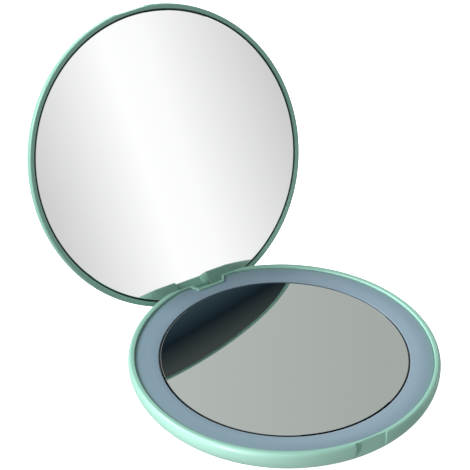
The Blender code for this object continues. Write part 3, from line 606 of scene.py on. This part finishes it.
def brushed_metal(name, base, roughness, scale=(1.0, 1.0, 30.0)):
    """Drawn or rolled metal: fine streaks in tone and gloss."""
    material, tree, shader = new_finish(name)
    settle(shader, metallic=1.0)
    stretch = tree.nodes.new("ShaderNodeMapping")
    stretch.inputs["Scale"].default_value = scale
    tree.links.new(piece_place(tree), stretch.inputs["Vector"])
    streaks = noise(tree, stretch.outputs["Vector"], 300.0, 4.0)
    tones = blended(tree, streaks, tinted(base, 0.88), tinted(base, 1.08))
    tree.links.new(tones, shader.inputs["Base Color"])
    tree.links.new(ranged(tree, streaks, roughness * 0.7, roughness * 1.3), shader.inputs["Roughness"])
    grain(tree, shader, streaks, 0.000004)
    return material


def mirror_silver(name, base, middle, radius, shade_line_width):
    """Silvered glass, with the faintest haze where it has been wiped, and a painted shade line, dark, along
    its ground edge.
    """
    material, tree, shader = new_finish(name)
    settle(shader, metallic=1.0)
    place = piece_place(tree)
    haze = noise(tree, place, 45.0, 3.0)
    silver = blended(tree, ranged(tree, haze, 0.0, 1.0), tinted(base, 0.995), base)
    reach = tree.nodes.new("ShaderNodeVectorMath")
    reach.operation = "DISTANCE"
    reach.inputs[1].default_value = middle
    tree.links.new(place, reach.inputs[0])
    # Painted shade: the silver turns dark in a thin line along the ground edge
    shade_line = ranged(tree, reach.outputs["Value"], 0.0, 1.0, radius - shade_line_width - SHADE_LINE_FADE, radius - shade_line_width)
    tree.links.new(blended(tree, shade_line, silver, SHADE_LINE_COLOUR), shader.inputs["Base Color"])
    tree.links.new(ranged(tree, haze, 0.004, 0.012), shader.inputs["Roughness"])
    return material


def ring_plastic(name, base, edge, inner, outer):
    """Milky light ring, paler in its inner half and greener at its outer edge, where a painted reflection of
    the green rim lies.
    """
    material, tree, shader = new_finish(name)
    place = piece_place(tree)
    across = ranged(tree, distance_from_axis(tree, place), 0.0, 1.0, inner, outer)
    ramp = tree.nodes.new("ShaderNodeValToRGB")
    stops = ramp.color_ramp.elements
    stops[0].position, stops[0].color = 0.0, (*tinted(base, 0.93), 1.0)
    # Outer stop: painted reflection of the green rim
    stops[1].position, stops[1].color = 1.0, (*edge, 1.0)
    middle = stops.new(0.35)
    middle.color = (*base, 1.0)
    late = stops.new(0.75)
    late.color = (*tinted(base, 0.96), 1.0)
    tree.links.new(across, ramp.inputs["Fac"])
    tree.links.new(ramp.outputs["Color"], shader.inputs["Base Color"])
    tree.links.new(ranged(tree, noise(tree, place, 300.0), 0.28, 0.34), shader.inputs["Roughness"])
    grain(tree, shader, noise(tree, place, 350.0), 0.000002)
    return material


class COMPACT_OT_stage(bpy.types.Operator):
    """Adds the pale floor, the reflection cards, the soft light and the camera"""

    bl_idname = "compact.stage"
    bl_label = "Studio"

    def execute(self, context):
        studio = context.scene.compact_studio
        deselect_all()
        bpy.ops.mesh.primitive_plane_add(size=studio.floor_size, location=(0.0, 0.0, -FLOOR_DROP))
        floor = start_piece("studio_floor")
        paper = moulded_plastic("floor_white", (0.90, 0.90, 0.90), 0.9, 0.005)
        shader = paper.node_tree.nodes["Principled BSDF"]
        settle(shader, emission_color=(1.0, 1.0, 1.0, 1.0), emission_strength=studio.glow)
        floor.data.materials.append(paper)
        floor.visible_diffuse = False
        floor.visible_glossy = False
        cards = (
            ("card_front", (0.4406, -0.8690, 0.2247), 2.2, (1.2, 1.0, 7.4), CARD_WHITE),
            ("card_back", (0.4406, 0.6826, 0.5830), 2.2, (2.2, 1.6, 0.0), CARD_GREY),
            ("card_above", (0.4406, 0.0860, 0.8935), 1.6, (1.2, 1.0, 23.5), CARD_DARK),
        )
        for name, toward, distance, shape, tones in cards:
            self.add_card(name, Vector(toward).normalized(), distance, shape, tones)
        self.add_light("soft_key", (-1.5, 0.9, 1.0), 0.9, studio.key)
        self.add_low_light("low_left_light", (-1.05, -0.40, 0.12), (-0.036, -0.026, 0.003), 4.2, studio.low)
        right = studio.low * LOW_LIGHT_RIGHT
        self.add_low_light("low_right_light", (1.07, -0.05, 0.12), (0.042, -0.004, 0.003), 3.2, right)
        self.add_light("side_light", (1.7, -0.6, 0.6), 1.2, studio.side)
        self.add_light("back_light", (0.5, 1.9, 0.5), 1.2, studio.fill)
        world = bpy.data.worlds.new("studio_surround")
        context.scene.world = world
        world.use_nodes = True
        glow = world.node_tree.nodes["Background"]
        glow.inputs["Color"].default_value = (1.0, 1.0, 1.0, 1.0)
        glow.inputs["Strength"].default_value = studio.ambient
        context.scene.view_settings.view_transform = "Standard"
        self.add_camera(context, studio)
        return {"FINISHED"}

    def add_card(self, name, toward, distance, shape, tones):
        """A glowing card whose tones run along its width.

        The shape is its width and height in metres and its roll in degrees.
        """
        width, height, roll = shape
        deselect_all()
        bpy.ops.mesh.primitive_plane_add(size=1.0)
        card = bpy.context.object
        card.name = card.data.name = name
        card.scale = (width, height, 1.0)
        card.rotation_mode = "QUATERNION"
        rolled = Quaternion((0.0, 0.0, 1.0), math.radians(roll))
        card.rotation_quaternion = toward.to_track_quat("-Z", "Y") @ rolled
        card.location = toward * distance
        material = bpy.data.materials.new(name)
        material.use_nodes = True
        tree = material.node_tree
        tree.nodes.clear()
        end = tree.nodes.new("ShaderNodeOutputMaterial")
        glow = tree.nodes.new("ShaderNodeEmission")
        tree.links.new(glow.outputs["Emission"], end.inputs["Surface"])
        place = piece_place(tree)
        split = tree.nodes.new("ShaderNodeSeparateXYZ")
        tree.links.new(place, split.inputs["Vector"])
        ramp = tree.nodes.new("ShaderNodeValToRGB")
        tree.links.new(ranged(tree, split.outputs["X"], 0.0, 1.0, -0.5, 0.5), ramp.inputs["Fac"])
        stops = ramp.color_ramp.elements
        while len(stops) < len(tones):
            stops.new(0.5)
        for stop, (position, tone) in zip(stops, tones):
            stop.position = position
            stop.color = (*tone, 1.0)
        tree.links.new(ramp.outputs["Color"], glow.inputs["Color"])
        card.data.materials.append(material)
        card.visible_camera = False
        card.visible_diffuse = False
        card.visible_shadow = False

    def add_lamp(self, kind, name, place, aim, power):
        """A light at a place in metres that shines towards a point."""
        deselect_all()
        bpy.ops.object.light_add(type=kind, location=place)
        lamp = bpy.context.object
        lamp.name = name
        lamp.data.energy = power
        lamp.rotation_mode = "QUATERNION"
        lamp.rotation_quaternion = (lamp.location - Vector(aim)).to_track_quat("Z", "Y")
        return lamp.data

    def add_light(self, name, place, width, power):
        """A soft square light."""
        lamp = self.add_lamp("AREA", name, place, LIGHT_AIM, power)
        lamp.shape = "SQUARE"
        lamp.size = width

    def add_low_light(self, name, place, aim, spread, power):
        """A narrow light close above the floor."""
        lamp = self.add_lamp("SPOT", name, place, aim, power)
        lamp.color = LOW_LIGHT_TINT
        lamp.spot_size = math.radians(spread)
        lamp.spot_blend = 0.8
        lamp.shadow_soft_size = 0.04

    def add_camera(self, context, studio):
        deselect_all()
        bpy.ops.object.camera_add(location=CAMERA_PLACE)
        camera = bpy.context.object
        camera.name = "photo_camera"
        camera.rotation_mode = "QUATERNION"
        camera.rotation_quaternion = Matrix(CAMERA_AXES).transposed().to_quaternion()
        camera.data.lens = studio.lens
        camera.data.sensor_width = 36.0
        camera.data.clip_start = 0.01
        camera.data.clip_end = 50.0
        context.scene.camera = camera


class COMPACT_OT_base_case(bpy.types.Operator):
    """Builds the base's shell: dished wall, rounded rim, hinge block, notches and battery opening"""

    bl_idname = "compact.base_case"
    bl_label = "Base case"

    def execute(self, context):
        s = context.scene.compact_sizes
        outer, rim, back = in_mm(s.outer_radius), in_mm(s.rim_top), in_mm(s.back_line)
        wide = rim - in_mm(s.rim_drop)
        inner, foot, floor = in_mm(s.rim_inner), in_mm(s.foot_radius), in_mm(s.floor)
        ledge, ledge_inner = in_mm(s.glass_low) - LEDGE_DROP, inner - LEDGE_WIDTH
        corners = [(DOOR_BORE, SEAT_TOP, 0.1), (DOOR_SEAT, SEAT_TOP, 0), (DOOR_SEAT, 0.0, 0.12)]
        corners += dished(foot, outer, 0.0, wide, 2.0, 16)
        corners += shoulder(outer, in_mm(s.rim_round), wide, rim)
        corners += [(inner, rim, 0.18), (inner, ledge, 0), (ledge_inner, ledge, 0.1)]
        wall = dished(foot - WALL_INSET, ledge_inner, floor, ledge, 2.0, 10)[::-1]
        corners += [corner for corner in wall[1:] if corner[0] > WALL_START]
        corners += [(TRAY_WALL_OUT, TRAY_WALL_FOOT, 0), (TRAY_WALL_OUT, TRAY_WALL_TOP, 0.1)]
        corners += [(TRAY_WALL_IN, TRAY_WALL_TOP, 0.1), (TRAY_WALL_IN, floor, 0)]
        corners += [(BAY_WALL, floor, 0), (BAY_WALL, BAY_TOP, 0.1), (DOOR_BORE, BAY_TOP, 0.1)]
        case = turned("base_case", rounded(corners))
        self.add_inside_posts(case, floor)
        self.add_hinge_block(case, s, rim, back)
        combine(case, back_cut("back_cut", back), "DIFFERENCE")
        self.cut_notches(case, s, rim, back)
        soften(case, s.edge_soften)
        finish_piece(case, FINISHES["mint"], "base", "base_shell", slot="mint_plastic")
        return {"FINISHED"}

    def add_inside_posts(self, case, floor):
        """Adds the four posts for the tray's screws and the magnet's seat."""
        for quarter in range(4):
            turn = math.radians(45.0 + 90.0 * quarter)
            x, y = POST_REACH * math.cos(turn), POST_REACH * math.sin(turn)
            combine(case, rod("post", POST_RADIUS, (x, y, floor / 2), (x, y, POST_TOP), 32), "UNION")
            combine(case, rod("pilot", PILOT_RADIUS, (x, y, floor), (x, y, PILOT_TOP), 32), "DIFFERENCE")
        magnet_seat(case, floor / 2, BASE_BOSS_TOP, floor, BASE_POCKET_TOP)

    def add_hinge_block(self, case, s, rim, back):
        """Adds the block of both ears, the low wall behind them and the lip round the notch."""
        reach = in_mm(s.ear_reach)
        ear = block("hinge_block", (-reach, EAR_FRONT, EAR_LOW), (reach, back, EAR_TOP))
        shift_picked(ear, lambda p: p.z < 3.0 * MM and p.y > EAR_SLOPE_START * MM, EAR_SLOPE)
        combine(case, ear, "UNION")
        low = (-reach, back - BACK_WALL, BACK_RIM_LOW)
        combine(case, block("back_rim", low, (reach, back, rim)), "UNION")
        combine(case, notch_tool("notch_lip", s, in_mm(s.notch_lip), HINGE_Z, rim), "UNION")

    def cut_notches(self, case, s, rim, back):
        """Cuts the back edge's bevel, the hinge notch, the bore, the thumb notch and the lug openings."""
        half = EDGE_CHAMFER
        edge = block("back_edge", (-BESIDE, back - half, rim - half), (BESIDE, back + half, rim + half))
        turn_piece(edge, math.radians(45.0), (0.0, back * MM, rim * MM))
        combine(case, edge, "DIFFERENCE")
        combine(case, notch_tool("hinge_notch", s, 0.0, BELOW, rim + PAST), "DIFFERENCE")
        bore = pin_rod("pin_bore", in_mm(s.pin_radius) + PIN_PLAY, BORE_BLIND, BORE_OPEN, 40)
        combine(case, bore, "DIFFERENCE")
        combine(case, thumb_cut(s, in_mm(s.base_thumb), BELOW, rim + PAST), "DIFFERENCE")
        for middle in LUG_TURNS:
            middle -= DOOR_TWIST
            opening = swept_block("lug_opening", middle, OPENING_SPREAD, OPENING_PLACE, OPENING_SECTION)
            combine(case, opening, "DIFFERENCE")


class COMPACT_OT_lid_case(bpy.types.Operator):
    """Builds the lid's shell: low dome, slim rim, flat back with its knuckle, and mirror pocket"""

    bl_idname = "compact.lid_case"
    bl_label = "Lid case"

    def execute(self, context):
        s = context.scene.compact_sizes
        outer, back = in_mm(s.outer_radius), in_mm(s.back_line)
        low, wide, top = in_mm(s.lid_rim), in_mm(s.lid_wide), in_mm(s.lid_top)
        recess = in_mm(s.lid_recess)
        corners = dished(in_mm(s.lid_flat), outer, top, wide, 1.8, 16)
        corners += shoulder(outer, in_mm(s.lid_round), wide, low)
        seat = recess - 2.0
        corners += [(recess, low, 0.1), (recess, LID_SEAT, 0), (seat, LID_SEAT, 0.1)]
        corners += dished(in_mm(s.lid_flat), seat, LID_INNER_TOP, LID_SEAT, 1.8, 10)[::-1][1:]
        corners += [(CROWN_RIB_OUT, LID_INNER_TOP, 0), (CROWN_RIB_OUT, CROWN_RIB_LOW, 0.15)]
        corners += [(CROWN_RIB_IN, CROWN_RIB_LOW, 0.15), (CROWN_RIB_IN, LID_INNER_TOP, 0)]
        lid = turned("lid_case", rounded(corners), closed=False)
        half = in_mm(s.notch_inner) + KNUCKLE_PLAY
        for name, start, end in (
            ("back_wall", (-LID_BACK_HALF, back - BACK_WALL, low), (LID_BACK_HALF, back, LID_BACK_TOP)),
            ("knuckle_foot", (-half, HINGE_Y - FOOT_FRONT, HINGE_Z), (half, back - FOOT_BACK, low)),
            ("knuckle_web", (-half, back - WEB_FRONT, WEB_LOW), (half, back - FOOT_BACK, LID_SEAT)),
        ):
            combine(lid, block(name, start, end), "UNION")
        combine(lid, pin_rod("knuckle", in_mm(s.knuckle_radius), -half, half, 64), "UNION")
        combine(lid, self.stop_tooth(s), "UNION")
        magnet_seat(lid, LID_BOSS_LOW, LID_BOSS_TOP, LID_POCKET_LOW, LID_POCKET_TOP)
        combine(lid, back_cut("back_cut", back), "DIFFERENCE")
        bored = in_mm(s.pin_radius) + PIN_PLAY
        bore = pin_rod("knuckle_bore", bored, -KNUCKLE_BORE_HALF, KNUCKLE_BORE_HALF, 40)
        combine(lid, bore, "DIFFERENCE")
        combine(lid, thumb_cut(s, in_mm(s.lid_thumb), low - PAST, top + PAST), "DIFFERENCE")
        soften(lid, s.edge_soften)
        turn_piece(lid, OPEN_ANGLE, HINGE_LINE)
        finish_piece(lid, FINISHES["mint"], "lid", "lid_shell", slot="mint_plastic")
        return {"FINISHED"}

    def stop_tooth(self, s):
        """Tooth under the knuckle, shaped where it stands with the lid open and turned back to shut."""
        half, start = in_mm(s.notch_inner) - TOOTH_PLAY, in_mm(s.notch_back) + TOOTH_GAP
        tooth = block("stop_tooth", (-half, start, HINGE_Z - TOOTH_DROP), (half, HINGE_Y, HINGE_Z))
        shift_picked(tooth, lambda p: p.y > (HINGE_Y - 0.5) * MM and p.z < (HINGE_Z - 0.5) * MM, TOOTH_RISE)
        turn_piece(tooth, -OPEN_ANGLE, HINGE_LINE)
        return tooth


class COMPACT_OT_light_ring(bpy.types.Operator):
    """Builds the milky ring over the lights, cut off at the back and round the hinge notch"""

    bl_idname = "compact.light_ring"
    bl_label = "Light ring"

    def execute(self, context):
        s = context.scene.compact_sizes
        inner, outer = in_mm(s.diffuser_inner), in_mm(s.diffuser_outer)
        low, top = in_mm(s.glass_low), in_mm(s.glass_top)
        corners = [(inner, low, 0), (outer, low, 0), (outer, top, 0.2), (inner, top, 0.15)]
        ring = turned("light_ring", rounded(corners))
        under, over = 5.0, 9.0
        combine(ring, back_cut("ring_back_cut", RING_BACK, under, over), "DIFFERENCE")
        combine(ring, notch_tool("ring_notch", s, RING_GAP, under, over), "DIFFERENCE")
        reach = in_mm(s.ear_reach) + REBATE_PLAY
        rebate = block("ring_rebate", (-reach, REBATE_FRONT, under), (reach, BEHIND, top - REBATE_DEPTH))
        combine(ring, rebate, "DIFFERENCE")
        soften(ring, s.edge_soften)
        finish_piece(ring, FINISHES["milky"], "base", "diffuser_ring", slot="milky_plastic")
        return {"FINISHED"}


class COMPACT_OT_mirrors(bpy.types.Operator):
    """Builds both mirrors with their ground edges"""

    bl_idname = "compact.mirrors"
    bl_label = "Mirrors"

    def execute(self, context):
        s = context.scene.compact_sizes
        wide, drop = in_mm(s.ground_edge), in_mm(s.ground_drop)
        low, top, radius = in_mm(s.glass_low), in_mm(s.glass_top), in_mm(s.base_glass)
        corners = [(radius - wide, top, 0), (radius, top - drop, 0), (radius, low, 0.05)]
        base = turned("base_glass", rounded(corners), closed=False)
        finish_piece(base, FINISHES["silver"], "base", "base_mirror", slot="mirror_silver", smooth=12.0)
        low, radius = in_mm(s.lid_rim) + LID_GLASS_SET, in_mm(s.lid_glass)
        corners = [(radius - wide, low, 0), (radius, low + drop, 0), (radius, low + GLASS_THICKNESS, 0)]
        lid = turned("lid_glass", rounded(corners), closed=False)
        combine(lid, back_cut("glass_back_cut", GLASS_BACK, 5, 12), "DIFFERENCE")
        run = 2.0
        slope = block("back_slope", (-BESIDE, GLASS_BACK - wide, low - PAST), (BESIDE, GLASS_BACK + run, low))
        rise = drop / wide * (run + wide)
        shift_picked(slope, lambda p: p.y > GLASS_BACK * MM and p.z > (low - 0.5) * MM, rise)
        combine(lid, slope, "DIFFERENCE")
        turn_piece(lid, OPEN_ANGLE, HINGE_LINE)
        finish_piece(lid, FINISHES["lid_silver"], "lid", "lid_mirror", slot="mirror_silver", smooth=12.0)
        return {"FINISHED"}


class COMPACT_OT_battery_door(bpy.types.Operator):
    """Builds the round battery door with its bayonet lugs and coin slots"""

    bl_idname = "compact.battery_door"
    bl_label = "Battery door"

    def execute(self, context):
        s = context.scene.compact_sizes
        flange = in_mm(s.door_radius)
        corners = [(DOOR_FACE, 0.0, 0), (flange, 0.0, 0.12), (flange, FLANGE_TOP, 0.12)]
        corners += [(COLLAR_OUT, FLANGE_TOP, 0), (COLLAR_OUT, COLLAR_TOP, 0.1), (COLLAR_IN, COLLAR_TOP, 0.1)]
        corners += [(COLLAR_IN, DOOR_TOP, 0), (DOOR_FACE, DOOR_TOP, 0)]
        door = turned("door_cover", rounded(corners), closed=False)
        for side in (-1.0, 1.0):
            start, end = sorted((side * SLOT_NEAR, side * SLOT_FAR))
            slot = block("coin_slot", (start, -SLOT_HALF, BELOW), (end, SLOT_HALF, SLOT_DEPTH))
            combine(door, slot, "DIFFERENCE")
        for middle in LUG_TURNS:
            combine(door, swept_block("lug", middle, LUG_SPREAD, LUG_PLACE, LUG_SECTION), "UNION")
        soften(door, s.edge_soften)
        finish_piece(door, FINISHES["mint"], "battery_door", "battery_door", slot="mint_plastic")
        return {"FINISHED"}


class COMPACT_OT_hinge_pin(bpy.types.Operator):
    """Builds the steel hinge pin with its rounded ends"""

    bl_idname = "compact.hinge_pin"
    bl_label = "Hinge pin"

    def execute(self, context):
        s = context.scene.compact_sizes
        pin = pin_rod("steel_pin", in_mm(s.pin_radius), -PIN_HALF, PIN_HALF, 40)
        soften(pin, 0.15 * MM, 3)
        finish_piece(pin, FINISHES["steel"], "base", "hinge_pin", slot="bright_steel")
        return {"FINISHED"}


class COMPACT_OT_inner_finishes(bpy.types.Operator):
    """Gives the pieces inside the base and the lid their finishes"""

    bl_idname = "compact.inner_finishes"
    bl_label = "Inner finishes"

    def execute(self, context):
        for node, piece in frame["nodes"].items():
            for start, finish in INNER_FINISHES:
                if node.startswith(start):
                    piece.data.materials.clear()
                    piece.data.materials.append(FINISHES[finish])
        return {"FINISHED"}


def make_finishes(colours, sizes):
    FINISHES["mint"] = moulded_plastic("mint_plastic", tuple(colours.mint), colours.gloss)
    # The ring's edge colour is a painted reflection of the green rim
    milky, edge = tuple(colours.milky), tuple(colours.milky_edge_rim_reflection)
    FINISHES["milky"] = ring_plastic("milky_plastic", milky, edge, sizes.diffuser_inner, sizes.diffuser_outer)
    silver = tuple(colours.silver)
    middle = (0.0, 0.0, sizes.glass_top)
    # Both mirrors get the painted shade line along their ground edge, a little wider on the lid
    FINISHES["silver"] = mirror_silver("mirror_silver", silver, middle, sizes.base_glass, SHADE_LINE_BASE)
    shut = Vector((0.0, 0.0, sizes.lid_rim + LID_GLASS_SET * MM))
    opened = HINGE_LINE + Matrix.Rotation(-OPEN_ANGLE, 3, "X") @ (shut - HINGE_LINE)
    FINISHES["lid_silver"] = mirror_silver("lid_silver", silver, opened, sizes.lid_glass, SHADE_LINE_LID)
    FINISHES["white"] = moulded_plastic("white_plastic", (0.80, 0.80, 0.78), 0.45)
    FINISHES["steel"] = brushed_metal("bright_steel", (0.60, 0.60, 0.62), 0.28)
    FINISHES["cell"] = brushed_metal("cell_steel", (0.62, 0.62, 0.62), 0.25, (1.0, 12.0, 1.0))
    FINISHES["nickel"] = brushed_metal("nickel_sheet", (0.68, 0.64, 0.55), 0.30, (1.0, 20.0, 1.0))
    FINISHES["magnet"] = brushed_metal("magnet_plate", (0.45, 0.45, 0.47), 0.30, (6.0, 6.0, 1.0))
    FINISHES["foam"] = moulded_plastic("foam_tape", (0.80, 0.80, 0.78), 0.9, 0.05, 0.00008)
    FINISHES["board"] = moulded_plastic("circuit_board", (0.76, 0.78, 0.76), 0.5, 0.04)
    FINISHES["phosphor"] = moulded_plastic("led_phosphor", (0.86, 0.80, 0.42), 0.4, 0.06)
    FINISHES["chip"] = moulded_plastic("chip_black", (0.022, 0.022, 0.024), 0.5, 0.15)
    FINISHES["resistor"] = moulded_plastic("resistor_dark", (0.05, 0.05, 0.06), 0.5, 0.15)
    FINISHES["red"] = moulded_plastic("red_insulation", (0.55, 0.03, 0.03), 0.45, 0.06)
    FINISHES["black"] = moulded_plastic("black_insulation", (0.03, 0.03, 0.03), 0.45, 0.1)


class COMPACT_PT_panel(bpy.types.Panel):
    """Sizes, colours and building steps of the makeup mirror"""

    bl_idname = "COMPACT_PT_panel"
    bl_label = "Makeup Mirror"
    bl_space_type = "VIEW_3D"
    bl_region_type = "UI"
    bl_category = "Makeup Mirror"

    def draw(self, context):
        layout = self.layout
        for step in STEPS:
            layout.operator(step.bl_idname)
        scene = context.scene
        for group in (scene.compact_sizes, scene.compact_colours, scene.compact_studio):
            box = layout.box()
            for key in group.__annotations__:
                box.prop(group, key)


STEPS = (
    COMPACT_OT_stage,
    COMPACT_OT_base_case,
    COMPACT_OT_lid_case,
    COMPACT_OT_light_ring,
    COMPACT_OT_mirrors,
    COMPACT_OT_battery_door,
    COMPACT_OT_hinge_pin,
    COMPACT_OT_inner_finishes,
)
GROUPS = (CompactSizes, CompactColours, StudioSettings)


def register():
    for entry in GROUPS + STEPS + (COMPACT_PT_panel,):
        bpy.utils.register_class(entry)
    bpy.types.Scene.compact_sizes = PointerProperty(type=CompactSizes)
    bpy.types.Scene.compact_colours = PointerProperty(type=CompactColours)
    bpy.types.Scene.compact_studio = PointerProperty(type=StudioSettings)


def unregister():
    del bpy.types.Scene.compact_studio
    del bpy.types.Scene.compact_colours
    del bpy.types.Scene.compact_sizes
    for entry in reversed(GROUPS + STEPS + (COMPACT_PT_panel,)):
        bpy.utils.unregister_class(entry)


def main():
    register()
    scene = bpy.context.scene
    make_finishes(scene.compact_colours, scene.compact_sizes)
    bpy.ops.compact.stage()
    bpy.ops.compact.base_case()
    bpy.ops.compact.lid_case()
    bpy.ops.compact.light_ring()
    bpy.ops.compact.mirrors()
    bpy.ops.compact.battery_door()
    bpy.ops.compact.hinge_pin()
    bpy.ops.compact.inner_finishes()


if __name__ == "__main__":
    main()
